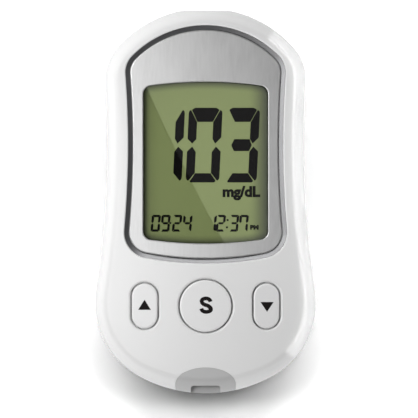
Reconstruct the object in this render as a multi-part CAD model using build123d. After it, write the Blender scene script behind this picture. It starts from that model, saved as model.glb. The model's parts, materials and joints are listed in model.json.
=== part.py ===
from build123d import *
import math
import os

# Hand-held blood glucose meter that speaks its readings, lying on its back.
# Millimetres. Z rises out of the front face, Y points to the display end, X to the right.
# The origin is the middle of the back, on the plane that the meter rests on.

# Casing: waisted outline of tangent arcs, cut flat at the display end
length = 106.0
case_height = 22.0
top_flat_depth = 0.75  # what the flat takes off the top arc
top_r = 32.6
shoulder_r = 12.3
waist_half = 27.05
waist_drop = 36.8  # narrowest place from the display end
waist_r = 260.0
hip_r = 23.2
bottom_r = 38.5
wall = 1.8
back_round = 4.0
rim_round = 6.5
rim_lift = 0.5  # the rim's arc would end this far above the front, so it meets it at a crease
crease_round = 2.5
flat_round = 3.0
crown_r = 600.0  # the front is slightly crowned across its width
parting_z = 11.0
lip_inset = 1.0
lip_height = 1.1
lip_gap = 0.1
seam = 0.05  # gap between fixed pieces that are let into each other
seam_bevel = 0.2  # on the outer edge of each shell where the two meet

# Display recess, the sloping ring in it and the brushed plate inside the ring
top_land = 4.2  # case between the display end and the recess
recess_top_r = 28.5
recess_shoulder_r = 6.5
recess_waist_half = 21.4
recess_waist_drop = 0.3  # the recess's narrowest place below the casing's
recess_waist_r = 265.0
recess_hip_r = 7.2
recess_bottom_r = 90.0
recess_depth = 2.0
recess_round = 0.35
pan_floor = 1.5
pan_wall = 1.6
ring_width = 1.3
ring_drop = 0.25  # the ring's outer edge below the front
ring_slope = 0.5  # how far its face falls towards the plate
plate_drop = 0.3  # the plate's face below the front
plate_round = 0.35

# Window opening, lens and liquid-crystal display, centred on the window
window_land = 5.45  # plate below the window
window_half_x = 17.25
window_half_y = 22.35
window_bulge = 1.35  # how far the window's top and bottom edges bow outwards
window_corner = 2.4
window_round = 0.3
lens_overlap = 1.4
lens_thickness = 1.2
lens_gap = 0.15
glass_thickness = 1.1
glass_side = 1.35  # both glasses beyond the window at each side
glass_end = 0.8  # rear glass beyond the window at each end
contact_ledge = 2.2
film_margin = 0.6
film_thickness = 0.15
connector_height = 2.0
connector_width = 1.6
connector_gap = 0.25
holder_wall = 1.0
holder_gap = 0.15

# Keys
port_land = 16.8  # case between the key end and the round key
key_land = 4.25  # case between the round key and the recess
select_hole_r = 7.5
key_pitch = 16.8
side_hole_width = 7.8
side_hole_length = 13.1
key_gap = 0.35
key_proud = 0.15
key_round = 0.5
hole_round = 0.55
key_flange = 0.8
key_flange_thickness = 0.9
key_flange_gap = 0.15
key_skin = 1.9
key_wall = 1.1
key_travel = 0.7
plunger_r = 2.2
plunger_gap = 0.35
mat_thickness = 0.8
mat_width = 42.5
mat_height = 12.4
pad_r = 2.6
pad_thickness = 0.05
rest_gap = 0.05  # left between plunger and pad when a key is held down

# Circuit board
board_thickness = 1.2
board_gap = 0.1
board_margin = 1.0

# Cells, battery bay and sliding door
cell_r = 5.25
cell_length = 44.5
nub_r = 1.9
nub_height = 0.9
cell_round = 0.5
cell_gap = 0.25
cell_pitch = 10.9
bay_step = 0.45  # the bay starts this far above the recess's lower edge
spring_length = 4.5
spring_r = 2.6
spring_wire = 0.3
spring_turns = 4
touch_gap = 0.03
plate_thickness = 0.3
plate_height = 8.0
terminal_width = 7.6
tab_width = 2.0
well_wall = 1.1
rail_wall = 1.5
rail_roof = 1.3
door_edge = 1.4  # door beyond the bay on each side
door_recess = 0.1
door_lip = 0.8
tongue_width = 1.2
tongue_thickness = 0.95
slide_gap = 0.15
door_end = 1.6  # door beyond the bay at its closed end
grip_count = 6
grip_pitch = 1.8
grip_width = 0.9
grip_length = 13.0
grip_depth = 0.4
grip_step = 8.5  # middle of the grip grooves above the bay's start

# Case screws
screw_x_top = 18.6
screw_x_bottom = 21.4
screw_drop = 9.3  # lower screws below the keys
boss_gap = 0.85
boss_r = 2.8
screw_r = 1.0
screw_head_r = 1.9
screw_head_height = 1.4
screw_seat_z = 6.0
screw_cover = 1.05  # plastic left over the screws' tips
screw_clearance = 0.2
thread_gap = 0.02
counterbore_gap = 0.2
cross_width = 0.5
cross_length = 2.2
cross_depth = 0.8

# Test strip port
trim_half_x = 8.3
trim_half_y = 4.6
trim_step = 2.7  # middle of the half moon from the key end
trim_z0 = 15.4
trim_skin = 1.9
slot_half = 4.1
slot_height = 1.3
slot_lift = 1.0  # slot floor above the board
notch_depth = 2.3
notch_corner = 0.9
guide_wall = 0.8
guide_depth = 2.2
socket_half = 5.2
socket_step = 5.2
socket_length = 9.6
socket_wall = 1.1
socket_back = 1.4
contact_count = 5
contact_pitch = 1.4
contact_width = 0.7
contact_thickness = 0.2
contact_dip = 0.55

# Data socket in the top flat
jack_bore_r = 1.3
jack_width = 6.4
jack_length = 10.2
jack_back = 1.2
collar_r = 2.3
collar_gap = 0.1

# Loudspeaker behind holes in the back
speaker_drop = 5.3  # middle below the keys
speaker_r = 11.5
speaker_depth = 3.0
speaker_ring = 1.1
speaker_ledge = 0.8
cone_thickness = 0.3
cone_neck_r = 3.2
magnet_r = 6.5
magnet_depth = 2.4
gasket_thickness = 0.5
gasket_width = 1.3
seat_gap = 0.15
seat_wall = 1.0
seat_height = 3.2
sound_hole_r = 0.7
sound_pitch = 2.9
sound_rings = 3
wire_r = 0.4
wire_bend = 1.6
wire_rise = 2.6
wire_x = 8.6
wire_reach = 6.0

# Parts soldered under the board
chip_side = 9.0
chip_thickness = 1.2
chip_drop = 3.3
chip_x = -5.5
voice_width = 5.4
voice_length = 8.6
voice_x = 6.0
crystal_width = 2.0
crystal_length = 6.0
crystal_height = 1.6
crystal_drop = 11.8
capacitor_r = 2.5
capacitor_height = 5.0
capacitor_x = 13.5
capacitor_rise = 6.5

# Places along the meter
half_length = length / 2
waist_y = half_length - waist_drop
key_y = -half_length + port_land + select_hole_r
recess_top_y = half_length - top_land
recess_waist_y = waist_y - recess_waist_drop
recess_bottom_y = key_y + select_hole_r + key_land
window_y = recess_bottom_y + window_land + window_half_y
bay_y0 = recess_bottom_y + bay_step
bay_y1 = bay_y0 + cell_length + spring_length + 2 * plate_thickness
grip_y = bay_y0 + grip_step
glass_half_x = window_half_x + glass_side
rear_glass_half_y = window_half_y + glass_end
front_glass_half_y = rear_glass_half_y + contact_ledge
holder_top_y = window_y + front_glass_half_y + holder_gap + holder_wall
screw_y_top = holder_top_y + boss_gap + boss_r
screw_y_bottom = key_y - screw_drop
speaker_y = key_y - speaker_drop
chip_y = key_y - chip_drop
crystal_y = key_y - crystal_drop
capacitor_y = key_y + capacitor_rise
trim_y = -half_length + trim_step
notch_y = -half_length + notch_depth
socket_y0 = -half_length + socket_step

# Levels from the back to the front, as the door, cells, board and display stack up
door_top = door_recess + door_lip + tongue_thickness
cell_z = door_top + cell_gap + cell_r
bay_top = cell_z + cell_r + cell_gap
bay_half = cell_pitch / 2 + cell_r + cell_gap
well_top = bay_top + well_wall
board_z0 = well_top + board_gap
board_z1 = board_z0 + board_thickness
glass_z0 = board_z1 + connector_height
film_z = glass_z0 + glass_thickness
ledge_z = case_height - recess_depth
pan_z = ledge_z - pan_floor
screw_tip = ledge_z - screw_cover
slot_z = board_z1 + slot_lift
door_half = bay_half + door_edge
tongue_half = door_half + tongue_width
rail_half = tongue_half + slide_gap + rail_wall
rail_top = door_top + slide_gap + rail_roof
speaker_z = wall + gasket_thickness
side_key_reach = key_pitch + side_hole_width / 2 + key_flange
screw_places = [
    (side * x, y)
    for x, y in ((screw_x_top, screw_y_top), (screw_x_bottom, screw_y_bottom))
    for side in (-1, 1)
]


def tangent_center(inner, outer, radius, side):
    """Centre of the circle that touches inner from within and outer from without."""
    (center, inner_r), (other, outer_r) = inner, outer
    inner_reach = inner_r - radius
    outer_reach = outer_r + radius
    spread = (other - center).length
    along = (inner_reach**2 - outer_reach**2 + spread**2) / (2 * spread)
    across = math.sqrt(inner_reach**2 - along**2)
    ahead = (other - center).normalized()
    return center + ahead * along + Vector(-ahead.Y, ahead.X) * (side * across)


def arc_about(center, radius, start, end):
    """The arc about center from start to end, the short way round."""
    towards = ((start + end) / 2 - center).normalized()
    return ThreePointArc(start, center + towards * radius, end)


class WaistedOutline:
    """Top, shoulder, waist, hip and bottom arcs, each tangent to the next, alike left and right."""

    def __init__(self, top, shoulder_radius, waist, hip_radius, bottom):
        """top and bottom are (highest or lowest y, radius); waist is (half width, y, radius)."""
        self.top = (Vector(0, top[0] - top[1]), top[1])
        self.waist = (Vector(waist[0] + waist[2], waist[1]), waist[2])
        self.bottom = (Vector(0, bottom[0] + bottom[1]), bottom[1])
        shoulder_center = tangent_center(self.top, self.waist, shoulder_radius, 1)
        self.shoulder = (shoulder_center, shoulder_radius)
        hip_center = tangent_center(self.bottom, self.waist, hip_radius, -1)
        self.hip = (hip_center, hip_radius)

    def face(self, inset=0.0):
        """The closed outline with every arc moved inwards by inset."""

        def touch(large, radius, small):
            return large[0] + (small[0] - large[0]).normalized() * radius

        top_radius = self.top[1] - inset
        waist_radius = self.waist[1] + inset
        bottom_radius = self.bottom[1] - inset
        a = touch(self.top, top_radius, self.shoulder)
        b = touch(self.waist, waist_radius, self.shoulder)
        c = touch(self.waist, waist_radius, self.hip)
        d = touch(self.bottom, bottom_radius, self.hip)
        right = [
            arc_about(self.shoulder[0], self.shoulder[1] - inset, a, b),
            arc_about(self.waist[0], waist_radius, b, c),
            arc_about(self.hip[0], self.hip[1] - inset, c, d),
        ]
        left = [mirror(arc, about=Plane.YZ) for arc in right]
        top_arc = arc_about(self.top[0], top_radius, Vector(-a.X, a.Y), a)
        bottom_arc = arc_about(self.bottom[0], bottom_radius, d, Vector(-d.X, d.Y))
        return make_face([top_arc, *right, bottom_arc, *left])

    def half_width(self):
        """Widest half, at the shoulders or the hips."""
        return max(self.shoulder[0].X + self.shoulder[1], self.hip[0].X + self.hip[1])


case_outline = WaistedOutline(
    (half_length + top_flat_depth, top_r),
    shoulder_r,
    (waist_half, waist_y, waist_r),
    hip_r,
    (-half_length, bottom_r),
)
recess_outline = WaistedOutline(
    (recess_top_y, recess_top_r),
    recess_shoulder_r,
    (recess_waist_half, recess_waist_y, recess_waist_r),
    recess_hip_r,
    (recess_bottom_y, recess_bottom_r),
)


def slab(face, z0, z1):
    """The face made solid between two heights."""
    return Pos(0, 0, z0) * extrude(face, amount=z1 - z0)


def block(x0, x1, y0, y1, z0, z1):
    """A box between opposite corners."""
    center = Pos((x0 + x1) / 2, (y0 + y1) / 2, (z0 + z1) / 2)
    return center * Box(x1 - x0, y1 - y0, z1 - z0)


def post(x, y, z0, z1, radius):
    """An upright cylinder."""
    return Pos(x, y, (z0 + z1) / 2) * Cylinder(radius, z1 - z0)


def lying_rod(x, z, y0, y1, radius):
    """A cylinder along Y."""
    return Pos(x, (y0 + y1) / 2, z) * Cylinder(radius, y1 - y0, rotation=(90, 0, 0))


def crown_sag(x):
    """How far the crowned front has fallen at x from the middle."""
    return crown_r - math.sqrt(crown_r**2 - x**2)


def crown(inset=0.0):
    """All that lies under the crowned front and short of the top flat, both moved in."""
    y1 = half_length - inset
    return lying_rod(0, case_height - crown_r, y1 - 2 * length, y1, crown_r - inset)


def case_body(inset=0.0):
    """The meter's rounded outer form with every surface moved in by inset."""
    rim_apex = case_height + rim_lift
    body = slab(case_outline.face(inset), inset, rim_apex - inset)
    body = fillet(body.edges().group_by(Axis.Z)[0], back_round - inset)
    body = fillet(body.edges().group_by(Axis.Z)[-1], rim_round - inset)
    return body & crown(inset)


def case_form():
    """The outer form with the front's crease and the flat's edges softened."""
    body = case_body()
    crease = body.edges().filter_by(lambda e: e.bounding_box().min.Z > case_height - wall)
    body = fillet(crease, crease_round)
    flat = body.edges().filter_by(lambda e: e.bounding_box().min.Y > half_length - seam)
    return fillet(flat, flat_round)


outer_form = case_form()


def edges_near(part, reach, z0):
    """Edges of part above z0 that lie inside the box reach = (x0, x1, y0, y1)."""
    x0, x1, y0, y1 = reach

    def inside(edge):
        box = edge.bounding_box()
        across = x0 < box.min.X and box.max.X < x1
        return across and y0 < box.min.Y and box.max.Y < y1 and box.min.Z > z0

    return part.edges().filter_by(inside)


def window_face(margin=0.0):
    """The window's outline: straight sides, bowed ends and round corners, grown by margin."""
    x = window_half_x + margin
    y = window_half_y + margin
    shoulder = y - window_bulge
    sides = [
        ThreePointArc((-x, shoulder), (0, y), (x, shoulder)),
        Line((x, shoulder), (x, -shoulder)),
        ThreePointArc((x, -shoulder), (0, -y), (-x, -shoulder)),
        Line((-x, -shoulder), (-x, shoulder)),
    ]
    outline = make_face(sides)
    return Pos(0, window_y) * fillet(outline.vertices(), window_corner + margin)


def key_face(name, margin=0.0):
    """Outline of a key's hole in the front, grown by margin."""
    if name == "select":
        return Pos(0, key_y) * Circle(select_hole_r + margin)
    side = -1 if name == "up" else 1
    grown = SlotOverall(side_hole_length + 2 * margin, side_hole_width + 2 * margin, rotation=90)
    return Pos(side * key_pitch, key_y) * grown


key_names = ("up", "select", "down")


def trim_face(margin=0.0):
    """Half moon seen from the front, running straight off the lower end."""
    moon = Pos(0, trim_y) * Ellipse(trim_half_x + margin, trim_half_y + margin)
    tail = Pos(0, trim_y - trim_half_y) * Rectangle(2 * (trim_half_x + margin), 2 * trim_half_y)
    return moon + tail


def door_space(gap=0.0):
    """The door's T-shaped section, grown by gap, from its closed end out past the display end."""
    y0 = bay_y0 - door_end - gap
    y1 = length
    plate = block(-door_half - gap, door_half + gap, y0, y1, -door_lip, door_recess + door_lip)
    tongues = block(
        -tongue_half - gap, tongue_half + gap, y0, y1, door_recess + door_lip - gap, door_top + gap
    )
    return plate + tongues


def make_front_case():
    """Upper shell: display pan with its recess and aperture, key holes, port and screw bosses."""
    case = split(outer_form - case_body(wall), Plane.XY.offset(parting_z), keep=Keep.TOP)
    case = chamfer(case.faces().sort_by(Axis.Z)[0].outer_wire().edges(), seam_bevel)
    case -= slab(
        case_outline.face(lip_inset - lip_gap), parting_z - 1, parting_z + lip_height + lip_gap
    )
    case += slab(recess_outline.face(-pan_wall), pan_z, case_height) & case_body(wall / 2)
    for x, y in screw_places:
        case += post(x, y, board_z1, case_height, boss_r) & case_body(wall / 2)
    case -= slab(recess_outline.face(), ledge_z, case_height + 1)
    case -= slab(window_face(lens_overlap + lens_gap), pan_z - 1, ledge_z + 1)
    for x, y in screw_places:
        case -= post(x, y, board_z1 - 1, screw_tip, screw_r + thread_gap)
    for name in key_names:
        case -= slab(key_face(name), pan_z, case_height + 1)
    half = recess_outline.half_width() + 1
    reach = (-half, half, recess_bottom_y - 1, recess_top_y + 1)
    case = fillet(edges_near(case, reach, case_height - recess_depth / 2), recess_round)
    for name in key_names:
        box = key_face(name, 0.5).bounding_box()
        reach = (box.min.X, box.max.X, box.min.Y, box.max.Y)
        case = fillet(edges_near(case, reach, case_height - wall / 2), hole_round)
    case -= slab(trim_face(seam), trim_z0 - seam, case_height + 1)
    case -= lying_rod(0, parting_z, half_length - 2 * wall, length, collar_r + collar_gap)
    return case


def make_rear_case():
    """Lower shell: battery well, door rails, screw columns and loudspeaker seat."""
    case = split(outer_form - case_body(wall), Plane.XY.offset(parting_z), keep=Keep.BOTTOM)
    case = chamfer(case.faces().sort_by(Axis.Z)[-1].outer_wire().edges(), seam_bevel)
    tongue = case_outline.face(lip_inset) - case_outline.face(wall)
    case += slab(tongue, parting_z, parting_z + lip_height) & crown(lip_inset)
    inside = case_body(wall / 2)
    well_y0 = bay_y0 - well_wall
    well_y1 = bay_y1 + well_wall
    well_half = bay_half + well_wall
    case += block(-well_half, well_half, well_y0, well_y1, wall, well_top)
    rails_y0 = bay_y0 - door_end - slide_gap - rail_wall
    case += block(-rail_half, rail_half, rails_y0, half_length, 0, rail_top) & inside
    for x, y in screw_places:
        case += post(x, y, wall / 2, board_z0, boss_r)
    seat_r = speaker_r + seat_gap
    case += post(0, speaker_y, wall / 2, wall + seat_height, seat_r + seat_wall)
    case -= post(0, speaker_y, wall, wall + seat_height, seat_r)
    case -= block(-bay_half, bay_half, bay_y0, bay_y1, 0, bay_top)
    case -= door_space(slide_gap)
    for x, y in screw_places:
        case -= post(x, y, 0, screw_seat_z, screw_head_r + counterbore_gap)
        case -= post(x, y, screw_seat_z, board_z0, screw_r + screw_clearance)
    for x, y in sound_places():
        case -= post(x, y, 0, wall, sound_hole_r)
    for x, y in tab_places():
        case -= block(
            x - tab_width / 2 - seam,
            x + tab_width / 2 + seam,
            y - plate_thickness / 2 - seam,
            y + plate_thickness / 2 + seam,
            bay_top - 1,
            well_top,
        )
    case -= lying_rod(0, parting_z, half_length - 2 * wall, length, collar_r + collar_gap)
    return case


def sound_places():
    """Centres of the loudspeaker's holes: one, then rings of six, twelve and so on."""
    places = [(0, speaker_y)]
    for ring in range(1, sound_rings):
        count = 6 * ring
        for k in range(count):
            angle = 2 * math.pi * k / count
            places.append(
                (
                    ring * sound_pitch * math.cos(angle),
                    speaker_y + ring * sound_pitch * math.sin(angle),
                )
            )
    return places


def tab_places():
    """Centres of the contact plates' tabs, where they pass the well's roof."""
    near = bay_y0 + plate_thickness / 2
    far = bay_y1 - plate_thickness / 2
    return [(-cell_pitch / 2, near), (cell_pitch / 2, near), (0, far)]


def make_bezel_ring():
    """Ring let into the recess; its face slopes down to the plate's edge."""
    outer = recess_outline.face(seam)
    inner = recess_outline.face(ring_width)
    high = case_height - crown_sag(recess_waist_half) - ring_drop
    ring = slab(outer - inner, ledge_z, high)
    low = high - ring_slope
    funnel = loft(
        [Pos(0, 0, low) * recess_outline.face(ring_width), Pos(0, 0, high) * recess_outline.face(seam)],
        ruled=True,
    )
    return ring - funnel


def make_display_bezel():
    """Brushed plate with the window opening and softened edges."""
    plate = slab(recess_outline.face(ring_width + seam), ledge_z, case_height)
    plate -= slab(window_face(), ledge_z - 1, case_height + 1)
    plate &= crown(plate_drop)
    top = plate.edges().filter_by(lambda e: e.bounding_box().min.Z > ledge_z + 0.5)
    rim = top.filter_by(lambda e: not within_window(e.center()))
    plate = fillet(rim, plate_round)
    top = plate.edges().filter_by(lambda e: e.bounding_box().min.Z > ledge_z + 0.5)
    mouth = top.filter_by(lambda e: within_window(e.center()))
    return fillet(mouth, window_round)


def within_window(point):
    """Whether a point lies in or on the window opening."""
    across = abs(point.X) < window_half_x + seam
    return across and abs(point.Y - window_y) < window_half_y + seam


def make_display_window():
    """Clear lens under the plate."""
    return slab(window_face(lens_overlap), ledge_z - lens_thickness, ledge_z)


def display_block(half_x, half_y, z0, z1):
    """A plate centred on the window."""
    return block(-half_x, half_x, window_y - half_y, window_y + half_y, z0, z1)


def make_lcd_holder():
    """Frame that keeps the display and its connectors in place on the board."""
    x = glass_half_x + holder_gap
    y = front_glass_half_y + holder_gap
    top = pan_z - seam
    frame = display_block(x + holder_wall, y + holder_wall, board_z1, top)
    return frame - display_block(x, y, board_z1 - 1, top + 1)


def make_lcd_connectors():
    """Two conductive rubber strips between the board and the front glass."""
    y = rear_glass_half_y + connector_gap + connector_width / 2
    strips = []
    for side in (-1, 1):
        center = window_y + side * y
        strips.append(
            block(
                holder_wall - glass_half_x,
                glass_half_x - holder_wall,
                center - connector_width / 2,
                center + connector_width / 2,
                board_z1,
                glass_z0,
            )
        )
    return Compound(children=strips)


def make_circuit_board():
    """Board shaped like the casing's inside, drilled for the screws."""
    inset = wall + board_margin
    board = slab(case_outline.face(inset), board_z0, board_z1) & crown(inset)
    for x, y in screw_places:
        board -= post(x, y, board_z0 - 1, board_z1 + 1, screw_r + screw_clearance)
    return board


def flange_top():
    """Upper face of the keys' flanges, just under the front's inner face."""
    return case_height - wall - crown_sag(side_key_reach) - key_flange_gap


def make_button(name):
    """Key cap: crowned face, flange that keeps it in its hole, hollow underneath."""
    z1 = flange_top()
    z0 = z1 - key_flange_thickness
    cap = slab(key_face(name, -key_gap), z0, case_height + 1) & crown(-key_proud)
    top = cap.edges().filter_by(lambda e: e.bounding_box().min.Z > z1)
    cap = fillet(top, key_round)
    cap += slab(key_face(name, key_flange), z0, z1)
    return cap - slab(key_face(name, -key_gap - key_wall), z0, case_height - key_skin)


def key_center(name):
    """Middle of a key as (x, y)."""
    return {"up": -1, "select": 0, "down": 1}[name] * key_pitch, key_y


def plunger_foot():
    """Lower end of a plunger at rest."""
    return board_z1 + pad_thickness + key_travel + rest_gap


def make_plunger(name):
    """Rubber foot inside a cap that presses the board's contact."""
    x, y = key_center(name)
    return post(x, y, plunger_foot(), case_height - key_skin, plunger_r)


def make_keypad_mat():
    """Rubber sheet on the board round the plungers."""
    sheet = Pos(0, key_y) * RectangleRounded(mat_width, mat_height, 3)
    for name in key_names:
        sheet -= Pos(*key_center(name)) * Circle(max(plunger_r, pad_r) + plunger_gap)
    return slab(sheet, board_z1, board_z1 + mat_thickness)


def make_key_pads():
    """Gold contact pads under the plungers."""
    pads = [
        post(*key_center(name), board_z1, board_z1 + pad_thickness, pad_r) for name in key_names
    ]
    return Compound(children=pads)


def make_strip_port_trim():
    """Grey half moon in the lower rim with the strip slot and its thumb notch."""
    skin = outer_form - case_body(trim_skin)
    trim = skin & slab(trim_face(), trim_z0, case_height + 1)
    guide_half = slot_half + guide_wall
    guide_y0 = -half_length + trim_skin / 2
    guide_y1 = -half_length + trim_skin + guide_depth
    guide = block(
        -guide_half,
        guide_half,
        guide_y0,
        guide_y1,
        trim_z0,
        slot_z + slot_height + guide_wall,
    )
    trim += guide & case_body(trim_skin / 2)
    trim -= block(-slot_half, slot_half, -length, guide_y1 + 1, slot_z, slot_z + slot_height)
    notch = RectangleRounded(2 * slot_half, 4 * notch_depth, notch_corner)
    return trim - slab(Pos(0, notch_y - 2 * notch_depth) * notch, slot_z, case_height + 1)


def make_strip_socket():
    """Housing on the board that takes the end of the test strip."""
    y1 = socket_y0 + socket_length
    z1 = slot_z + slot_height + socket_wall
    housing = block(-socket_half, socket_half, socket_y0, y1, board_z1, z1)
    hollow = block(
        -slot_half, slot_half, socket_y0 - 1, y1 - socket_back, slot_z, slot_z + slot_height
    )
    return housing - hollow


def make_strip_contacts():
    """Row of bowed springs that touch the strip's printed leads."""
    back = socket_y0 + socket_length - socket_back
    roof = slot_z + slot_height
    top = [
        (back, roof),
        (back - 2.0, roof),
        (socket_y0 + 2.2, roof - contact_dip),
        (socket_y0 + 1.0, roof - contact_thickness),
    ]
    under = [(y, z - contact_thickness) for y, z in reversed(top)]
    profile = Plane.YZ * make_face(Polyline(*top, *under, close=True))
    spring = extrude(profile, amount=contact_width / 2, both=True)
    first = -(contact_count - 1) / 2 * contact_pitch
    springs = [Pos(first + k * contact_pitch, 0, 0) * spring for k in range(contact_count)]
    return Compound(children=springs)


def make_cell(side):
    """One AAA cell; side -1 has its nub at the display end, side 1 at the other end."""
    x = side * cell_pitch / 2
    if side < 0:
        nub_end = bay_y1 - plate_thickness - touch_gap
        direction = -1
    else:
        nub_end = bay_y0 + plate_thickness + touch_gap
        direction = 1
    can_end = nub_end + direction * nub_height
    flat_end = nub_end + direction * cell_length
    can = lying_rod(x, cell_z, min(can_end, flat_end), max(can_end, flat_end), cell_r)
    can = fillet(can.edges().filter_by(GeomType.CIRCLE), cell_round)
    return can + lying_rod(x, cell_z, min(nub_end, can_end), max(nub_end, can_end), nub_r)


def contact_plate(x0, x1, y, tab_x):
    """Flat contact across x0 to x1 with a tab up to the board."""
    half = plate_thickness / 2
    sheet = block(x0, x1, y - half, y + half, cell_z - plate_height / 2, cell_z + plate_height / 2)
    tab_half = tab_width / 2
    return sheet + block(tab_x - tab_half, tab_x + tab_half, y - half, y + half, cell_z, board_z0)


def make_bridge_plate():
    """Contact that joins the two cells at the display end."""
    x = (cell_pitch + terminal_width) / 2
    tab_x, y = tab_places()[2]
    return contact_plate(-x, x, y, tab_x)


def make_terminal_plates():
    """The two separate contacts at the key end."""
    plates = []
    for x, y in tab_places()[:2]:
        plates.append(contact_plate(x - terminal_width / 2, x + terminal_width / 2, y, x))
    return Compound(children=plates)


def make_cell_springs():
    """Coil springs that push on the flat end of each cell."""
    free = spring_length - 2 * spring_wire - 2 * touch_gap
    path = Helix(free / spring_turns, free, spring_r)
    start = Plane(origin=path @ 0, z_dir=path % 0)
    coil = sweep(start * Circle(spring_wire), path=path, is_frenet=True)
    near = Pos(-cell_pitch / 2, bay_y0 + plate_thickness + spring_wire + touch_gap / 2, cell_z)
    far = Pos(cell_pitch / 2, bay_y1 - plate_thickness - spring_wire - touch_gap / 2, cell_z)
    return Compound(children=[near * Rot(-90, 0, 0) * coil, far * Rot(90, 0, 0) * coil])


def make_battery_door():
    """Cover that slides off towards the display end, with grip grooves on its outside."""
    door = door_space() & outer_form
    door = split(door, Plane.XY.offset(door_recess), keep=Keep.TOP)
    first = grip_y - (grip_count - 1) / 2 * grip_pitch
    for k in range(grip_count):
        y = first + k * grip_pitch
        groove = SlotOverall(grip_length, grip_width)
        door -= slab(Pos(0, y) * groove, door_recess - 1, door_recess + grip_depth)
    return door


def make_case_screws():
    """Four screws from the back, through the board into the front case."""
    screws = []
    for x, y in screw_places:
        screw = post(x, y, screw_seat_z - screw_head_height, screw_seat_z - seam, screw_head_r)
        screw += post(x, y, screw_seat_z - seam, screw_tip - seam, screw_r)
        for size in ((cross_length, cross_width), (cross_width, cross_length)):
            z = screw_seat_z - screw_head_height + cross_depth / 2
            screw -= Pos(x, y, z) * Box(*size, cross_depth)
        screws.append(screw)
    return Compound(children=screws)


def make_data_jack():
    """Socket body under the board behind the top flat."""
    half = board_z0 - parting_z
    y1 = half_length - wall - seam
    body = block(
        -jack_width / 2, jack_width / 2, y1 - jack_length, y1, parting_z - half, board_z0
    )
    return body - lying_rod(0, parting_z, y1 - jack_length + jack_back, y1 + 1, jack_bore_r)


def make_jack_collar():
    """Metal collar that lines the socket's mouth through the case wall."""
    y0 = half_length - wall - seam
    collar = lying_rod(0, parting_z, y0, half_length, collar_r)
    return collar - lying_rod(0, parting_z, y0 - 1, half_length + 1, jack_bore_r)


def speaker_turn(profile):
    """A profile of (radius, height) points turned about the loudspeaker's axis."""
    face = Plane.XZ * make_face(Polyline(*profile, close=True))
    return Pos(0, speaker_y, speaker_z) * revolve(face, Axis.Z)


def make_speaker_frame():
    """Cup that carries the cone and the magnet."""
    inner = speaker_r - speaker_ring
    ledge = inner - speaker_ledge
    ledge_height = 2 * cone_thickness
    floor = speaker_depth - cone_thickness
    return speaker_turn(
        [
            (inner, 0),
            (speaker_r, 0),
            (speaker_r, speaker_depth),
            (0, speaker_depth),
            (0, floor),
            (ledge, floor),
            (ledge, ledge_height),
            (inner, ledge_height),
        ]
    )


def make_speaker_cone():
    """Thin dished cone whose rim lies on the frame's ledge."""
    rim = speaker_r - speaker_ring - seam
    bend = rim - speaker_ledge - cone_thickness
    top = 2 * cone_thickness
    dish = speaker_depth - 2 * cone_thickness
    return speaker_turn(
        [
            (0, dish - 2 * cone_thickness),
            (cone_neck_r, dish - cone_thickness),
            (bend, cone_thickness),
            (rim, cone_thickness),
            (rim, top),
            (bend, top),
            (cone_neck_r, dish),
            (0, dish - cone_thickness),
        ]
    )


def make_speaker_magnet():
    """Magnet on the back of the frame."""
    z0 = speaker_z + speaker_depth
    return post(0, speaker_y, z0, z0 + magnet_depth, magnet_r)


def make_speaker_gasket():
    """Foam ring between the loudspeaker and the case floor."""
    ring = post(0, speaker_y, wall, speaker_z, speaker_r)
    return ring - post(0, speaker_y, wall - 1, speaker_z + 1, speaker_r - gasket_width)


def make_speaker_wires():
    """Two leads from the loudspeaker's frame up to the board."""
    z0 = speaker_z + speaker_depth
    wires = []
    for side in (-1, 1):
        route = FilletPolyline(
            (side * wire_x, speaker_y, z0),
            (side * wire_x, speaker_y, z0 + wire_rise),
            (side * wire_x, speaker_y - wire_reach, z0 + wire_rise),
            (side * wire_x, speaker_y - wire_reach, board_z0),
            radius=min(wire_bend, wire_rise / 2),
        )
        start = Plane(origin=route @ 0, z_dir=route % 0)
        wires.append(sweep(start * Circle(wire_r), path=route))
    return Compound(children=wires)


def under_board(x, y, width, length_y, height):
    """A part soldered to the underside of the board."""
    half_w = width / 2
    half_l = length_y / 2
    return block(x - half_w, x + half_w, y - half_l, y + half_l, board_z0 - height, board_z0)


pieces = {
    "front_case": make_front_case(),
    "rear_case": make_rear_case(),
    "bezel_ring": make_bezel_ring(),
    "display_bezel": make_display_bezel(),
    "display_window": make_display_window(),
    "lcd_front_glass": display_block(glass_half_x, front_glass_half_y, glass_z0, film_z),
    "lcd_rear_glass": display_block(
        glass_half_x, rear_glass_half_y, glass_z0 - glass_thickness, glass_z0
    ),
    "lcd_film": slab(window_face(film_margin), film_z, film_z + film_thickness),
    "lcd_holder": make_lcd_holder(),
    "lcd_connectors": make_lcd_connectors(),
    "circuit_board": make_circuit_board(),
    "keypad_mat": make_keypad_mat(),
    "key_pads": make_key_pads(),
    "strip_port_trim": make_strip_port_trim(),
    "strip_socket": make_strip_socket(),
    "strip_contacts": make_strip_contacts(),
    "cell_left": make_cell(-1),
    "cell_right": make_cell(1),
    "cell_springs": make_cell_springs(),
    "bridge_plate": make_bridge_plate(),
    "terminal_plates": make_terminal_plates(),
    "battery_door": make_battery_door(),
    "case_screws": make_case_screws(),
    "data_jack": make_data_jack(),
    "jack_collar": make_jack_collar(),
    "speaker_frame": make_speaker_frame(),
    "speaker_cone": make_speaker_cone(),
    "speaker_magnet": make_speaker_magnet(),
    "speaker_gasket": make_speaker_gasket(),
    "speaker_wires": make_speaker_wires(),
    "controller_chip": under_board(chip_x, chip_y, chip_side, chip_side, chip_thickness),
    "voice_chip": under_board(voice_x, chip_y, voice_width, voice_length, chip_thickness),
    "clock_crystal": under_board(0, crystal_y, crystal_length, crystal_width, crystal_height),
    "board_capacitor": post(
        capacitor_x, capacitor_y, board_z0 - capacitor_height, board_z0, capacitor_r
    ),
}
for key in key_names:
    pieces[f"button_{key}"] = make_button(key)
    pieces[f"plunger_{key}"] = make_plunger(key)

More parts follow.
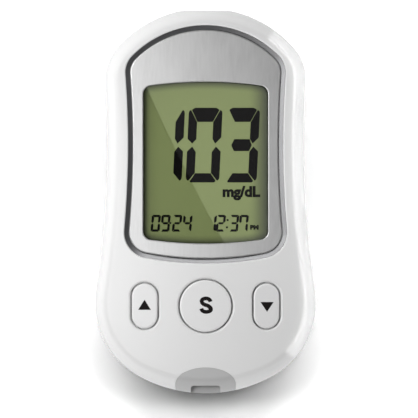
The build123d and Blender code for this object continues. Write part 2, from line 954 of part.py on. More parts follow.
os.makedirs("parts", exist_ok=True)
for node, shape in pieces.items():
    export_step(shape, f"parts/{node}.step")
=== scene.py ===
import bpy
import json
import math
import numpy as np
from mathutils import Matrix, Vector


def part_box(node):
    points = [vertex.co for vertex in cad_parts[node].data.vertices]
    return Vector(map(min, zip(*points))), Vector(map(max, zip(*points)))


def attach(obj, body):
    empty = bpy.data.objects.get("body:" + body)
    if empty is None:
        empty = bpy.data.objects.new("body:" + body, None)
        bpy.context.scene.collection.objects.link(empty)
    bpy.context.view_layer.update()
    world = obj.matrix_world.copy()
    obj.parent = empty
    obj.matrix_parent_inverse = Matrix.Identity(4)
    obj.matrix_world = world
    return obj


# Hand-held blood glucose meter on its back: finishes, printed marks, display figures and studio.
# Places are in metres in the meter's own frame. The window, the marks and the finishes' grain are
# given in millimetres, and MM turns them into metres.

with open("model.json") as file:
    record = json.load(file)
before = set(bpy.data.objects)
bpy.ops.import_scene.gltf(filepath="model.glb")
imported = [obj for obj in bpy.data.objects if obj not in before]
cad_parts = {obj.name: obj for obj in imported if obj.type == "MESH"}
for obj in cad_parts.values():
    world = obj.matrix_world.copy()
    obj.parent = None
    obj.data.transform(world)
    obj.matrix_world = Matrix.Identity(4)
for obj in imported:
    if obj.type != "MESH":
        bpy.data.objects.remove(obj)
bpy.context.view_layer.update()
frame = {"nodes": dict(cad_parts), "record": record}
nodes = frame["nodes"]
MM = 0.001

# The display window, as the solids have it
WINDOW_Y = 10.85
WINDOW_HALF_X = 17.25
WINDOW_HALF_Y = 22.35
WINDOW_BULGE = 1.35

# Heights that the printed marks follow: the display film, and the key caps' crown with its radius
FILM_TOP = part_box("lcd_film")[1].z / MM
KEY_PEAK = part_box("button_select")[1].z / MM
KEY_CROWN_R = 600.15


# ---------------------------------------------------------------- node helpers


def add(tree, kind, inputs=None, **settings):
    """Adds a shader node. inputs maps a socket's name or number to a value or to another socket."""
    node = tree.nodes.new("ShaderNode" + kind)
    for key, value in settings.items():
        setattr(node, key, value)
    for key, value in (inputs or {}).items():
        socket = node.inputs[key]
        if isinstance(value, bpy.types.NodeSocket):
            tree.links.new(value, socket)
        else:
            socket.default_value = value
    return node


def compute(tree, operation, a, b=0.0, clamp=False):
    """One Math node and its result."""
    return add(tree, "Math", {0: a, 1: b}, operation=operation, use_clamp=clamp).outputs[0]


def own_point(tree):
    """The x, y and z of the piece's own coordinates."""
    return add(tree, "SeparateXYZ", {0: add(tree, "TexCoord").outputs["Object"]}).outputs


def place(tree, stretch=(1, 1, 1)):
    """The piece's own coordinates, stretched."""
    point = add(tree, "TexCoord").outputs["Object"]
    return add(tree, "Mapping", {"Vector": point, "Scale": stretch}).outputs[0]


def speckle(tree, size, detail=3.0, stretch=(1, 1, 1)):
    """Noise from 0 to 1 whose grains are about size millimetres wide."""
    values = {"Vector": place(tree, stretch), "Scale": 1 / (size * MM), "Detail": detail}
    return add(tree, "TexNoise", values).outputs["Fac"]


def bands(tree, scale, direction):
    """Even bands across one axis, from 0 to 1, about three times scale of them to a metre."""
    values = {"Vector": place(tree), "Scale": scale}
    return add(tree, "TexWave", values, bands_direction=direction).outputs["Fac"]


def spread(tree, factor, low, high, start=0.3, end=0.7):
    """Maps the middle of a factor to the range low to high."""
    values = {0: factor, 1: start, 2: end, 3: low, 4: high}
    return add(tree, "MapRange", values).outputs[0]


def blend(tree, factor, first, second):
    """Mixes two colours."""
    mixed = add(tree, "Mix", {0: factor}, data_type="RGBA")
    for socket, colour in ((mixed.inputs[6], first), (mixed.inputs[7], second)):
        if isinstance(colour, bpy.types.NodeSocket):
            tree.links.new(colour, socket)
        else:
            socket.default_value = (*colour, 1)
    return mixed.outputs[2]


def relief(tree, height, depth):
    """A bump whose full height is depth millimetres."""
    return add(tree, "Bump", {"Height": height, "Distance": depth * MM}).outputs["Normal"]


def shade(colour, amount):
    """A colour made lighter or darker by a factor."""
    return tuple(min(1.0, c * amount) for c in colour)


# All finishes made here, by name; a solid's finish has the name of its slot in the record
finish_of = {}


def start_finish(name, **sockets):
    """A new finish with its Principled shader; sockets are plain values of that shader."""
    material = bpy.data.materials.new(name)
    material.use_nodes = True
    finish_of[name] = material
    tree = material.node_tree
    shader = tree.nodes["Principled BSDF"]
    for key, value in sockets.items():
        shader.inputs[key.replace("_", " ")].default_value = value
    return tree, shader


def wire(tree, shader, colour=None, roughness=None, normal=None):
    """Joins worked-out colour, roughness and relief to a shader."""
    for key, source in (("Base Color", colour), ("Roughness", roughness), ("Normal", normal)):
        if source is not None:
            tree.links.new(source, shader.inputs[key])


def show(tree, surface):
    """Makes a shader's output the material's surface."""
    tree.links.new(surface, tree.nodes["Material Output"].inputs["Surface"])


# ---------------------------------------------------------------- finishes


def moulded(name, colour, roughness, grain=0.35, depth=0.004, mottle=0.03, **sockets):
    """Moulded plastic or rubber: faint clouding, uneven gloss and a fine spark-eroded grain.

    grain and depth are the grain's width and height in millimetres, mottle the share by which the
    clouds are lighter and darker than the colour."""
    tree, shader = start_finish(name, **sockets)
    cloud = speckle(tree, 9.0, 2.0)
    fine = speckle(tree, grain, 4.0)
    tone = blend(tree, cloud, shade(colour, 1 - mottle), shade(colour, 1 + mottle))
    gloss = spread(tree, fine, roughness - 0.05, roughness + 0.05)
    wire(tree, shader, tone, gloss, relief(tree, fine, depth))


def metal(name, colour, roughness, stretch=(1, 1, 1), grain=0.25, depth=0.003):
    """Plated or drawn metal: fine lines along the short stretch and slight tarnish."""
    tree, shader = start_finish(name, Metallic=1.0)
    cloud = speckle(tree, 2.5, 3.0)
    lines = speckle(tree, grain, 5.0, stretch)
    tone = blend(tree, cloud, shade(colour, 0.9), shade(colour, 1.06))
    gloss = spread(tree, lines, roughness - 0.08, roughness + 0.08)
    wire(tree, shader, tone, gloss, relief(tree, lines, depth))


def brushed_plate():
    """Silver display plate: soft vertical brushing over a faint cloud, under a satin lacquer."""
    tree, shader = start_finish("bezel_silver", Metallic=0.8, Specular_IOR_Level=0.5)
    brushing = speckle(tree, 0.55, 4.0, (1, 0.12, 1))
    cloud = speckle(tree, 6.0, 3.0, (1, 0.5, 1))
    flake = speckle(tree, 0.2, 2.0)
    tone = blend(tree, spread(tree, brushing, 0, 1), (0.49, 0.49, 0.49), (0.55, 0.55, 0.55))
    tone = blend(tree, spread(tree, cloud, 0, 0.5), tone, (0.57, 0.57, 0.57))
    gloss = spread(tree, compute(tree, "ADD", brushing, flake), 0.46, 0.56, 0.7, 1.3)
    wire(tree, shader, tone, gloss, relief(tree, brushing, 0.003))


def sloping_ring():
    """Satin grey ring with a fine turned grain."""
    tree, shader = start_finish("ring_grey", Metallic=0.9, Specular_IOR_Level=0.5)
    fine = speckle(tree, 0.2, 4.0)
    cloud = speckle(tree, 6.0, 2.0)
    tone = blend(tree, cloud, (0.118, 0.118, 0.121), (0.134, 0.134, 0.137))
    wire(tree, shader, tone, spread(tree, fine, 0.32, 0.42), relief(tree, fine, 0.002))


def clear_sheet(name, colour, index):
    """Clear lens or glass, open to the lamps' light, with the faintest flow lines."""
    tree, shader = start_finish(name, IOR=index, Transmission_Weight=1.0, Base_Color=(*colour, 1))
    flow = speckle(tree, 14.0, 2.0)
    wire(tree, shader, roughness=spread(tree, flow, 0.0, 0.02))
    path = add(tree, "LightPath").outputs["Is Shadow Ray"]
    open_way = add(tree, "BsdfTransparent", {"Color": (*shade(colour, 0.97), 1)}).outputs[0]
    show(tree, add(tree, "MixShader", {0: path, 1: shader.outputs[0], 2: open_way}).outputs[0])


def display_panel():
    """Olive reflective display: it darkens towards the window's edge, over faint electrode rows.

    The window's ends fall back from its middle by WINDOW_BULGE times (x / half width)^2. At each
    side the painted shade takes the tone from its edge level up to full between edge_start and the
    side's own reach, both in metres inwards from that side."""
    tree, shader = start_finish("display_green", Specular_IOR_Level=0.3)
    x, y, _ = own_point(tree)
    across = compute(tree, "DIVIDE", x, WINDOW_HALF_X * MM)
    bow = compute(tree, "MULTIPLY", compute(tree, "POWER", across, 2.0), -WINDOW_BULGE * MM)
    end = compute(tree, "ADD", bow, WINDOW_HALF_Y * MM)
    along = compute(tree, "SUBTRACT", y, WINDOW_Y * MM)
    # Painted shade: the film darkens towards each side of the window, standing for the recess's
    # shadow
    edge_start, painted_shade_at_edge = -0.0006, 0.08
    sides = (
        (compute(tree, "ADD", WINDOW_HALF_X * MM, x), 0.0023),
        (compute(tree, "SUBTRACT", WINDOW_HALF_X * MM, x), 0.0056),
        (compute(tree, "SUBTRACT", end, along), 0.0024),
        (compute(tree, "ADD", end, along), 0.0025),
    )
    # light is the painted shade's factor: low at the window's edge, 1 further in
    light = 1.0
    for inwards, reach in sides:
        values = {0: inwards, 1: edge_start, 2: reach, 3: painted_shade_at_edge, 4: 1.0}
        step = add(tree, "MapRange", values, interpolation_type="SMOOTHSTEP").outputs[0]
        light = compute(tree, "MULTIPLY", light, step)
    rows = bands(tree, 800.0, "Y")
    fine = speckle(tree, 0.5, 3.0)
    green = blend(tree, spread(tree, rows, 0, 0.25), (0.252, 0.308, 0.106), (0.266, 0.324, 0.113))
    green = blend(tree, spread(tree, fine, 0, 0.12), green, (0.216, 0.282, 0.096))
    # The painted shade blends the green towards near black at the window's edge
    tone = blend(tree, light, (0.012, 0.016, 0.008), green)
    wire(tree, shader, tone, spread(tree, fine, 0.42, 0.5), relief(tree, rows, 0.001))


def layered_rubber():
    """Display connector: thin conducting layers between clear rubber ones."""
    tree, shader = start_finish("connector_rubber")
    layers = bands(tree, 1600.0, "X")
    tone = blend(tree, spread(tree, layers, 0, 1), (0.03, 0.03, 0.03), (0.52, 0.30, 0.30))
    wire(tree, shader, tone, spread(tree, speckle(tree, 0.3), 0.5, 0.65))


def circuit_laminate():
    """Board: green solder mask over paler copper tracks that run in steps."""
    tree, shader = start_finish("board_green", Coat_Weight=0.3)
    black, white = (0, 0, 0, 1), (1, 1, 1, 1)
    pattern = {
        "Vector": place(tree), "Scale": 260.0, "Mortar Size": 0.035,
        "Color1": black, "Color2": black, "Mortar": white,
    }
    tracks = add(tree, "TexBrick", pattern).outputs["Fac"]
    cloud = speckle(tree, 3.0)
    mask = blend(tree, cloud, (0.012, 0.11, 0.045), (0.02, 0.15, 0.06))
    tone = blend(tree, tracks, mask, (0.05, 0.27, 0.11))
    wire(tree, shader, tone, spread(tree, cloud, 0.25, 0.38), relief(tree, tracks, 0.03))


def cell_sleeve():
    """Cell sleeve: dark shrink film with a plain copper-coloured band at one end."""
    tree, shader = start_finish("cell_jacket", Specular_IOR_Level=0.6)
    band_start = 19.0 * MM
    band = compute(tree, "GREATER_THAN", own_point(tree)[1], band_start)
    cloud = speckle(tree, 3.5)
    dark = blend(tree, cloud, (0.016, 0.018, 0.022), (0.028, 0.030, 0.036))
    copper = blend(tree, cloud, (0.42, 0.20, 0.09), (0.50, 0.26, 0.12))
    wire(tree, shader, blend(tree, band, dark, copper), spread(tree, cloud, 0.22, 0.32))


def pressed_paper():
    """Loudspeaker cone: matted fibres."""
    tree, shader = start_finish("speaker_cone", Specular_IOR_Level=0.2)
    fibres = speckle(tree, 0.45, 8.0, (1, 0.3, 1))
    tone = blend(tree, spread(tree, fibres, 0, 1), (0.035, 0.034, 0.032), (0.085, 0.082, 0.078))
    wire(tree, shader, tone, spread(tree, fibres, 0.7, 0.9), relief(tree, fibres, 0.05))


def open_foam():
    """Gasket: small cells in black foam."""
    tree, shader = start_finish("gasket_foam", Specular_IOR_Level=0.1)
    cells = add(tree, "TexVoronoi", {"Vector": place(tree), "Scale": 3500.0}).outputs["Distance"]
    tone = blend(tree, cells, (0.008, 0.008, 0.009), (0.07, 0.07, 0.072))
    wire(tree, shader, tone, spread(tree, cells, 0.8, 0.95), relief(tree, cells, 0.12))


moulded("case_white", (0.86, 0.86, 0.858), 0.34, grain=0.3, depth=0.0015, mottle=0.006)
moulded("key_white", (0.86, 0.86, 0.86), 0.36, grain=0.25, depth=0.0015, mottle=0.008)
brushed_plate()
sloping_ring()
clear_sheet("lens_clear", (1.0, 1.0, 1.0), 1.49)
clear_sheet("display_glass", (0.96, 0.985, 0.965), 1.52)
display_panel()
moulded("holder_white", (0.74, 0.74, 0.72), 0.5)
layered_rubber()
circuit_laminate()
metal("contact_gold", (0.86, 0.62, 0.25), 0.3)
moulded("mat_rubber", (0.30, 0.31, 0.32), 0.66, grain=0.2, depth=0.02, mottle=0.08)
moulded("trim_grey", (0.54, 0.54, 0.54), 0.42, grain=0.22, depth=0.003, mottle=0.02)
moulded("socket_black", (0.022, 0.022, 0.024), 0.45, grain=0.3, depth=0.01, mottle=0.15)
metal("spring_steel", (0.58, 0.57, 0.56), 0.3, grain=0.12)
cell_sleeve()
metal("screw_steel", (0.46, 0.45, 0.44), 0.34, stretch=(1, 1, 0.2))
metal("collar_nickel", (0.66, 0.63, 0.58), 0.22, stretch=(1, 0.1, 1))
metal("speaker_frame", (0.36, 0.36, 0.37), 0.45)
pressed_paper()
metal("magnet_steel", (0.50, 0.50, 0.49), 0.38, stretch=(1, 0.15, 1))
open_foam()
moulded("wire_jacket", (0.48, 0.02, 0.02), 0.42, grain=0.2, depth=0.006, mottle=0.1)
moulded("chip_black", (0.03, 0.03, 0.032), 0.55, grain=0.12, depth=0.02, mottle=0.15)
metal("can_metal", (0.62, 0.61, 0.58), 0.32, stretch=(1, 1, 0.12))

for entry in frame["record"]["subparts"]:
    surfaces = nodes[entry["node"]].data.materials
    surfaces.clear()
    surfaces.append(finish_of[entry["material_slot"]])


# ---------------------------------------------------------------- marks


def dark_mark(name, colour):
    """Screened ink or a driven display segment: near black, faintly uneven."""
    moulded(name, colour, 0.6, grain=0.15, depth=0.001, mottle=0.12, Specular_IOR_Level=0.05)


dark_mark("segment_black", (0.0035, 0.003, 0.003))
dark_mark("ink_black", (0.012, 0.010, 0.010))


def on_film(x):
    """Height of the flat display film."""
    return np.full_like(x, FILM_TOP)


def on_key(x):
    """Height of the key caps' crowned faces: the peak less the fall of a circle about x = 0."""
    return KEY_PEAK - KEY_CROWN_R + np.sqrt(KEY_CROWN_R**2 - x**2)


def set_in_scene(name, mesh, finish):
    """Gives a mesh its one finish and puts it into the scene."""
    mesh.materials.clear()
    mesh.materials.append(finish_of[finish])
    piece = bpy.data.objects.new(name, mesh)
    bpy.context.scene.collection.objects.link(piece)
    return piece


def fix_mark(name, mesh, finish, body):
    """Puts a mark into the scene and fixes it to a body."""
    piece = set_in_scene(name, mesh, finish)
    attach(piece, body)


def flat_mark(name, outlines, level, sink, rise, finish, body):
    """A mark of closed prisms, one for each outline of (x, y) millimetres.

    level takes the points' x and gives the height of the face that carries the mark, and each
    prism reaches from sink below that face to rise above it, so a mark can follow a crown."""
    points, faces, start = [], [], 0
    for outline in outlines:
        flat = np.asarray(outline, float)
        turn = np.roll(flat, -1, 0)
        if np.sum(flat[:, 0] * turn[:, 1] - turn[:, 0] * flat[:, 1]) < 0:
            flat = flat[::-1]
        count = len(flat)
        height = level(flat[:, 0])
        points.append(np.r_[np.c_[flat, height - sink], np.c_[flat, height + rise]])
        ring = np.arange(count)
        onward = (ring + 1) % count
        walls = np.c_[ring, onward, onward + count, ring + count] + start
        faces += walls.tolist()
        faces += [(ring[::-1] + start).tolist(), (ring + count + start).tolist()]
        start += 2 * count
    mesh = bpy.data.meshes.new(name)
    mesh.from_pydata((np.concatenate(points) * MM).tolist(), [], faces)
    fix_mark(name, mesh, finish, body)


def digit_segments(width, height, stroke, bars, seam, waist):
    """The seven segments of a digit, a to g, as outlines in a cell that starts at (0, 0).

    bars are the thicknesses of the top, middle and bottom segments, seam the gap between two
    segments that meet and waist half the gap at the middle. Outer corners are rounded off, and
    the upright segments come to a point at the middle, nearer the digit's inside on the right."""
    top, middle, bottom = bars
    inner, half = width - stroke, height / 2

    def points(*pairs):
        """Corners given in strokes from the cell's lower left."""
        return [(x * stroke, y * stroke) for x, y in pairs]

    # The cell's width, height and inner width, and the heights of its bars, in strokes
    w, h, i = width / stroke, height / stroke, inner / stroke
    roof, base, gap = (height - top) / stroke, bottom / stroke, seam / stroke
    low, high = (half - waist) / stroke, (half + waist) / stroke
    return {
        "a": points((0.72, h), (w - 0.72, h), (w - 0.40, h - 0.19), (w - 0.36, h - 0.29),
                    (i - gap, roof), (1 + gap, roof), (0.36, h - 0.29), (0.40, h - 0.19)),
        "b": points((w, h - 0.64), (w - 0.05, h - 0.39), (w - 0.21, h - 0.26), (w - 0.29, h - 0.33),
                    (i, roof - gap), (i, high + 0.54), (i + 0.33, high), (w, high + 0.69)),
        "c": points((i + 0.43, low), (i, low - 0.60), (i, base + gap), (w - 0.31, 0.26),
                    (w - 0.22, 0.20), (w - 0.06, 0.38), (w, 0.62), (w, low - 0.55)),
        "d": points((0.55, 0), (w - 0.62, 0), (w - 0.45, 0.10), (w - 0.42, 0.20),
                    (i - gap, base), (1 + gap, base), (0.50, 0.20), (0.48, 0.10)),
        "e": points((0.57, low), (0, low - 0.55), (0, 0.62), (0.06, 0.38), (0.22, 0.20),
                    (0.36, 0.26), (1, base + gap), (1, low - 0.60)),
        "f": points((0, h - 0.64), (0, high + 0.54), (0.55, high), (1, high + 0.50),
                    (1, roof - gap), (0.29, h - 0.33), (0.21, h - 0.26), (0.05, h - 0.39)),
        "g": [(0.75 * stroke, half), (1.07 * stroke, half + middle / 2),
              (inner - seam, half + middle / 2), (inner + 0.25 * stroke, half),
              (inner - seam, half - middle / 2), (1.07 * stroke, half - middle / 2)],
    }


# The segments that each digit lights
LIT = {
    "0": "abcdef", "1": "bc", "2": "abdeg", "3": "abcdg", "4": "bcfg",
    "7": "abcf", "9": "abcdfg",
}


def lean(outlines, corner, slant):
    """Leans outlines to the right with height and moves them to a corner."""
    placed = []
    for outline in outlines:
        flat = np.asarray(outline, float)
        placed.append(np.c_[flat[:, 0] + slant * flat[:, 1] + corner[0], flat[:, 1] + corner[1]])
    return placed


def figures(rows):
    """Outlines of all digits in rows of (text, left edges, baseline, cell, slant)."""
    outlines = []
    for text, lefts, baseline, cell, slant in rows:
        segments = digit_segments(*cell)
        for digit, left in zip(text, lefts):
            lit = [segments[key] for key in LIT[digit]]
            outlines += lean(lit, (left, baseline), slant)
    return outlines


def dot(x, y):
    """The outline of a small lit dot about (x, y)."""
    half_x, half_y = 0.27, 0.25
    return [(x - half_x, y - half_y), (x + half_x, y - half_y),
            (x + half_x, y + half_y), (x - half_x, y + half_y)]


# A cell is its width, height, stroke, bars, seam and waist, as digit_segments takes them
large_cell = (9.3, 20.65, 2.42, (3.9, 3.3, 2.55), 0.09, 0.42)
small_cell = (2.5, 4.65, 0.66, (0.64, 0.6, 0.64), 0.0, 0.05)
display_rows = [
    ("103", (-15.95, -5.55, 4.8), 5.4, large_cell, 0.047),
    ("0924", (-15.25, -12.55, -9.35, -6.5), -8.2, small_cell, 0.09),
    ("1237", (0.25, 2.75, 6.4, 9.05), -8.2, small_cell, 0.09),
]
dots = [dot(-9.75, -5.81), dot(6.1, -5.0), dot(5.9, -7.0)]
display_outlines = figures(display_rows) + dots
flat_mark(
    "display_figures", display_outlines, on_film, sink=0.005, rise=0.03,
    finish="segment_black", body="meter",
)


def display_word(name, text, weight, width, height, corner):
    """A plain sans word on the display film, drawn to a size with its lower left at corner.

    It is a thin closed mesh whose points lie film_depth above or below the film's height."""
    film_depth = 0.02
    curve = bpy.data.curves.new(name, "FONT")
    curve.body = text
    curve.offset = weight
    curve.extrude = 0.5
    curve.resolution_u = 6
    draft = bpy.data.objects.new(name + "_draft", curve)
    bpy.context.scene.collection.objects.link(draft)
    bpy.context.view_layer.update()
    mesh = bpy.data.meshes.new_from_object(draft)
    bpy.data.objects.remove(draft)
    points = np.zeros(len(mesh.vertices) * 3, np.float32)
    mesh.vertices.foreach_get("co", points)
    points = points.reshape(-1, 3).astype(float)
    low, high = points.min(0), points.max(0)
    points[:, 0] = corner[0] + (points[:, 0] - low[0]) / (high[0] - low[0]) * width
    points[:, 1] = corner[1] + (points[:, 1] - low[1]) / (high[1] - low[1]) * height
    points[:, 2] = on_film(points[:, 0]) + np.where(points[:, 2] > 0, film_depth, -film_depth)
    mesh.vertices.foreach_set("co", (points * MM).ravel())
    mesh.name = name
    fix_mark(name, mesh, "segment_black", "meter")


display_word("display_unit", "mg/dL", 0.05, 10.4, 4.0, (4.7, 0.45))
display_word("display_half_day", "PM", 0.075, 2.35, 1.3, (12.3, -7.65))


def key_mark(name, outline, body):
    """A mark printed on a key, carried through the cap's crowned face by ink either side of it."""
    ink = 0.015
    flat_mark(name, [outline], on_key, ink, ink, "ink_black", body)


def round_s(center, upper_reach, lower_reach, bowl, stroke, slant):
    """Outline of a bold S: its middle line is two part ellipses that meet at the centre.

    The upper runs from 12 to 270 degrees and the lower from 90 to -168, each bowl high to either
    side of its own middle. The middle then falls to the right by slant times x, which fades out
    with the square of y towards top and bottom. The outline lies half a stroke to both sides."""
    upper = np.radians(np.linspace(12, 270, 32))
    lower = np.radians(np.linspace(90, -168, 32))[1:]
    line = np.r_[
        np.c_[upper_reach * np.cos(upper), bowl + bowl * np.sin(upper)],
        np.c_[lower_reach * np.cos(lower), -bowl + bowl * np.sin(lower)],
    ]
    line[:, 1] -= slant * line[:, 0] * (1 - (line[:, 1] / (2 * bowl)) ** 2)
    run = np.gradient(line, axis=0)
    side = np.c_[-run[:, 1], run[:, 0]] / np.linalg.norm(run, axis=1)[:, None] * stroke / 2
    return np.r_[line + side, (line - side)[::-1]] + center


def triangle(x, y, half_width, half_height, up):
    """Corners of a triangle about (x, y) that points up, or down where up is -1."""
    return [(x - half_width, y - up * half_height), (x + half_width, y - up * half_height),
            (x, y + up * half_height)]


key_mark("select_letter", round_s((0.14, -28.46), 1.25, 1.36, 0.93, 1.05, 0.22), "key_select")
key_mark("up_triangle", triangle(-16.85, -28.35, 1.75, 1.4, 1), "key_up")
key_mark("down_triangle", triangle(16.95, -28.95, 1.8, 1.35, -1), "key_down")


# ---------------------------------------------------------------- studio

TABLE_TONE = 0.12
TABLE_RADIUS = 4.0


def studio_floor():
    """Pale table: one large disc, its rim at radius times (cos a, sin a).

    The meter's bounced light and shadow rays pass through it, so that its underside is lit like
    its walls, and from below it is clear."""
    angles = np.linspace(0, 2 * np.pi, 97)[:-1]
    points = TABLE_RADIUS * np.c_[np.cos(angles), np.sin(angles), np.zeros_like(angles)]
    mesh = bpy.data.meshes.new("floor")
    mesh.from_pydata(points.tolist(), [], [list(range(len(points)))])
    tree, shader = start_finish("floor_white", Specular_IOR_Level=0.0, Roughness=1.0)
    cloud, mottle = speckle(tree, 60.0, 2.0), 0.005
    wire(tree, shader, blend(tree, cloud, (TABLE_TONE - mottle,) * 3, (TABLE_TONE + mottle,) * 3))
    below = add(tree, "NewGeometry").outputs["Backfacing"]
    clear = add(tree, "BsdfTransparent").outputs[0]
    show(tree, add(tree, "MixShader", {0: below, 1: shader.outputs[0], 2: clear}).outputs[0])
    floor = set_in_scene("floor", mesh, "floor_white")
    floor.visible_diffuse = floor.visible_glossy = floor.visible_shadow = False
    return floor


def add_lamp(name, kind, place_at, target, **settings):
    """A lamp at a point, turned towards another. It isn't seen itself."""
    data = bpy.data.lights.new(name, kind)
    for key, value in settings.items():
        setattr(data, key, value)
    lamp = bpy.data.objects.new(name, data)
    bpy.context.scene.collection.objects.link(lamp)
    lamp.visible_camera = False
    lamp.location = place_at
    direction = Vector(target) - Vector(place_at)
    lamp.rotation_euler = direction.to_track_quat("-Z", "Y").to_euler()
    return lamp


def softbox(name, place_at, target, width, height, radiance):
    """A rectangular lamp given by how bright its face looks."""
    power = math.pi * width * height * radiance
    return add_lamp(
        name, "AREA", place_at, target, shape="RECTANGLE", size=width, size_y=height, energy=power
    )


def light_only(lamp, surfaces, include=True):
    """Lets a lamp light some surfaces alone, or everything but those surfaces."""
    group = bpy.data.collections.new(lamp.name + "_receivers")
    for surface in surfaces:
        group.objects.link(surface)
    for member in group.collection_objects:
        member.light_linking.link_state = "INCLUDE" if include else "EXCLUDE"
    lamp.light_linking.receiver_collection = group


def square_lamps(rows, target, surfaces, include=True):
    """Square lamps that look at one target, from rows of (name, place, width, radiance)."""
    for name, place_at, width, radiance in rows:
        light_only(softbox(name, place_at, target, width, width, radiance), surfaces, include)


floor = studio_floor()
case_halves = [nodes["front_case"], nodes["rear_case"]]

# The key lamps light all but the table and the two clear pieces over the display film
key_lamps = [
    ("high_key", (-0.07, -0.02, 0.22), 0.08, 9.0),
    ("low_key", (-0.13, 0.09, 0.15), 0.11, 3.45),
]
left_out = [floor, nodes["display_window"], nodes["lcd_front_glass"]]
square_lamps(key_lamps, (0, 0, 0.02), left_out, include=False)


def rim_strips(edge, radiance):
    """Narrow beams along the casing's right rim, one for each step between points of its edge.

    Each lamp is as long as its step. It stands outside the rim at 45 degrees, reach millimetres
    from the rim's middle both outwards and upwards, and looks down at it. The rim's middle lies
    rim millimetres inside the edge, at height level."""
    rim, level, reach, height, beam = 2.3, 19.4, 10.6, 4.8, math.radians(9)
    for number, (first, second) in enumerate(zip(edge, edge[1:])):
        step = np.subtract(second, first)
        length = np.linalg.norm(step)
        outward = np.array((-step[1], step[0])) / length
        middle = np.add(first, second) / 2 - outward * rim
        spot = (*(middle + outward * reach) * MM, (level + reach) * MM)
        target = (*middle * MM, level * MM)
        lamp = softbox(f"rim_strip_{number}", spot, target, length * MM, height * MM, radiance)
        lamp.data.spread = beam
        light_only(lamp, case_halves)


right_edge = [
    (19.4, 47.4), (23.2, 44.0), (26.2, 40.2), (27.5, 35.5), (27.2, 24.0), (27.1, 12.0),
    (27.7, -2.0), (29.2, -16.0), (30.4, -26.0), (29.9, -33.0), (27.6, -39.2), (24.8, -43.2),
]
rim_strips(right_edge, 0.27)

# Two low strips beyond the right flank, for both case halves
flank_strips = [
    ("waist_strip", (0.047, 0.024, 0.029), (0.026, 0.024, 0.019), 0.056),
    ("hip_strip", (0.052, -0.021, 0.029), (0.031, -0.021, 0.019), 0.034),
]
strip_height, strip_radiance = 0.008, 1.15
for name, place_at, target, length in flank_strips:
    strip = softbox(name, place_at, target, length, strip_height, strip_radiance)
    light_only(strip, case_halves)

ring_lamps = [
    ("ring_lamp_left", (-0.12, 0.02, 0.16), 0.12, 3.1),
    ("ring_lamp_top", (-0.01, 0.13, 0.17), 0.12, 6.0),
    ("ring_lamp_fill", (-0.13, 0.11, 0.17), 0.10, 1.5),
]
square_lamps(ring_lamps, (0, 0.01, 0.02), [nodes["bezel_ring"]])

plate_lamps = [("plate_lamp", (-0.085, 0.05, 0.075), 0.05, 5.0)]
square_lamps(plate_lamps, (-0.02, 0.03, 0.018), [nodes["display_bezel"]])


def table_lamps(shares):
    """Suns for the table alone, each on both sides of the meter's length.

    shares are rows of (degrees from the display end, degrees up, how bright the two together make
    the open table). Each sun's part is its energy times the tone times sin(rise), over pi."""
    sun_width = math.radians(10)
    for turn, rise, share in shares:
        across, up = math.radians(turn), math.radians(rise)
        for side, side_name in ((-1, "left"), (1, "right")):
            aside, ahead = side * math.cos(up) * math.sin(across), math.cos(up) * math.cos(across)
            sun = add_lamp(
                f"table_lamp_{side_name}_{turn}_{rise}",
                "SUN",
                (aside, ahead, math.sin(up)),
                (0, 0, 0),
                energy=math.pi * share / (2 * TABLE_TONE * math.sin(up)),
                angle=sun_width,
            )
            light_only(sun, [floor])


table_lamps((
    (0, 32, 0.13), (10, 32, 0.16), (20, 32, 0.30), (30, 32, 0.22), (80, 40, 0.14), (40, 56, 0.25),
    (50, 56, 0.07), (60, 56, 0.06), (70, 56, 0.16), (50, 64, 0.20), (60, 64, 0.09),
))


def display_lamp():
    """A narrow beam from far above whose straight-looking edge falls across the display film.

    It passes through the point edge, and outward is its direction away from the dark side. The
    beam is a circle of radius reach at the film's height."""
    edge, outward = np.array((-0.00734, 0.01133)), np.array((0.897, 0.443))
    reach, height, brightness = 0.5, 3.0, 0.38
    spot = edge + outward * reach
    lamp = add_lamp(
        "display_lamp",
        "SPOT",
        (*spot, height),
        (*spot, 0),
        energy=4 * math.pi**2 * height**2 * brightness,
        spot_size=2 * math.atan(reach / (height - FILM_TOP * MM)),
        spot_blend=0.002,
        shadow_soft_size=0.0,
    )
    light_only(lamp, [nodes["lcd_film"]])


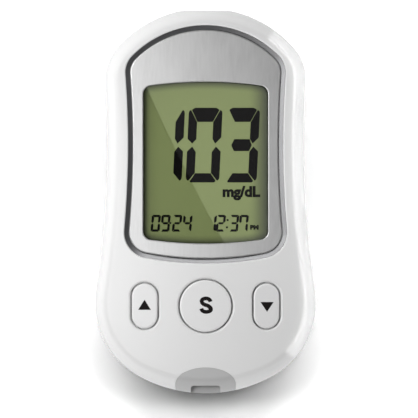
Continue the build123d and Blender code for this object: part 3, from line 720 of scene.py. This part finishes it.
def ceiling_card():
    """A large dim card high over the meter, seen only as a reflection with a straight edge.

    first and second are points of that edge, which goes on by before and after past them."""
    height, depth, before, after = 2.0, 1.1, 0.9, 0.7
    first, second = np.array((-0.0410, 0.0775)), np.array((0.0031, -0.0118))
    along = (second - first) / np.linalg.norm(second - first)
    across = np.array((-along[1], along[0]))
    corners = [first - along * before, second + along * after]
    corners += [corners[1] + across * depth, corners[0] + across * depth]
    mesh = bpy.data.meshes.new("ceiling_card")
    mesh.from_pydata([(*corner, height) for corner in corners], [], [(3, 2, 1, 0)])
    tree, _ = start_finish("card_glow")
    strength = spread(tree, own_point(tree)[1], 0.10, 0.14, -0.05, 0.10)
    show(tree, add(tree, "Emission", {"Strength": strength}).outputs[0])
    card = set_in_scene("ceiling_card", mesh, "card_glow")
    card.visible_camera = card.visible_diffuse = card.visible_shadow = False


def studio_world():
    """White to the camera, and a soft light that falls off with height: 2.5 (1 - z)^3 above.

    Below the horizon it is an even light, so that the back can be looked at."""
    world = bpy.data.worlds.new("studio")
    bpy.context.scene.world = world
    world.use_nodes = True
    sky = world.node_tree
    way = add(sky, "TexCoord").outputs["Generated"]
    upward = add(sky, "SeparateXYZ", {0: way}).outputs[2]
    fall = compute(sky, "POWER", compute(sky, "SUBTRACT", 1.0, upward, clamp=True), 3.0)
    above = compute(sky, "GREATER_THAN", upward, 0.0)
    over, under = compute(sky, "MULTIPLY", fall, 2.5), 0.85
    light = add(sky, "Mix", {0: above, 2: under, 3: over}).outputs[0]
    seen = add(sky, "LightPath").outputs["Is Camera Ray"]
    strength = add(sky, "Mix", {0: seen, 2: light, 3: 1.0}).outputs[0]
    background = sky.nodes["Background"]
    sky.links.new(strength, background.inputs["Strength"])
    background.inputs["Color"].default_value = (1, 1, 1, 1)


display_lamp()
ceiling_card()
studio_world()


# ---------------------------------------------------------------- camera


def overhead_camera(center, width, level):
    """A long lens straight above center, which sees width metres across at height level."""
    data = bpy.data.cameras.new("camera")
    data.sensor_width = 36.0
    data.lens = 400.0
    camera = bpy.data.objects.new("camera", data)
    bpy.context.scene.collection.objects.link(camera)
    camera.location = (*center, level + width * data.lens / data.sensor_width)
    bpy.context.scene.camera = camera


overhead_camera(center=(0.00094, -0.00194), width=0.1156, level=0.0185)
bpy.context.scene.view_settings.view_transform = "Standard"
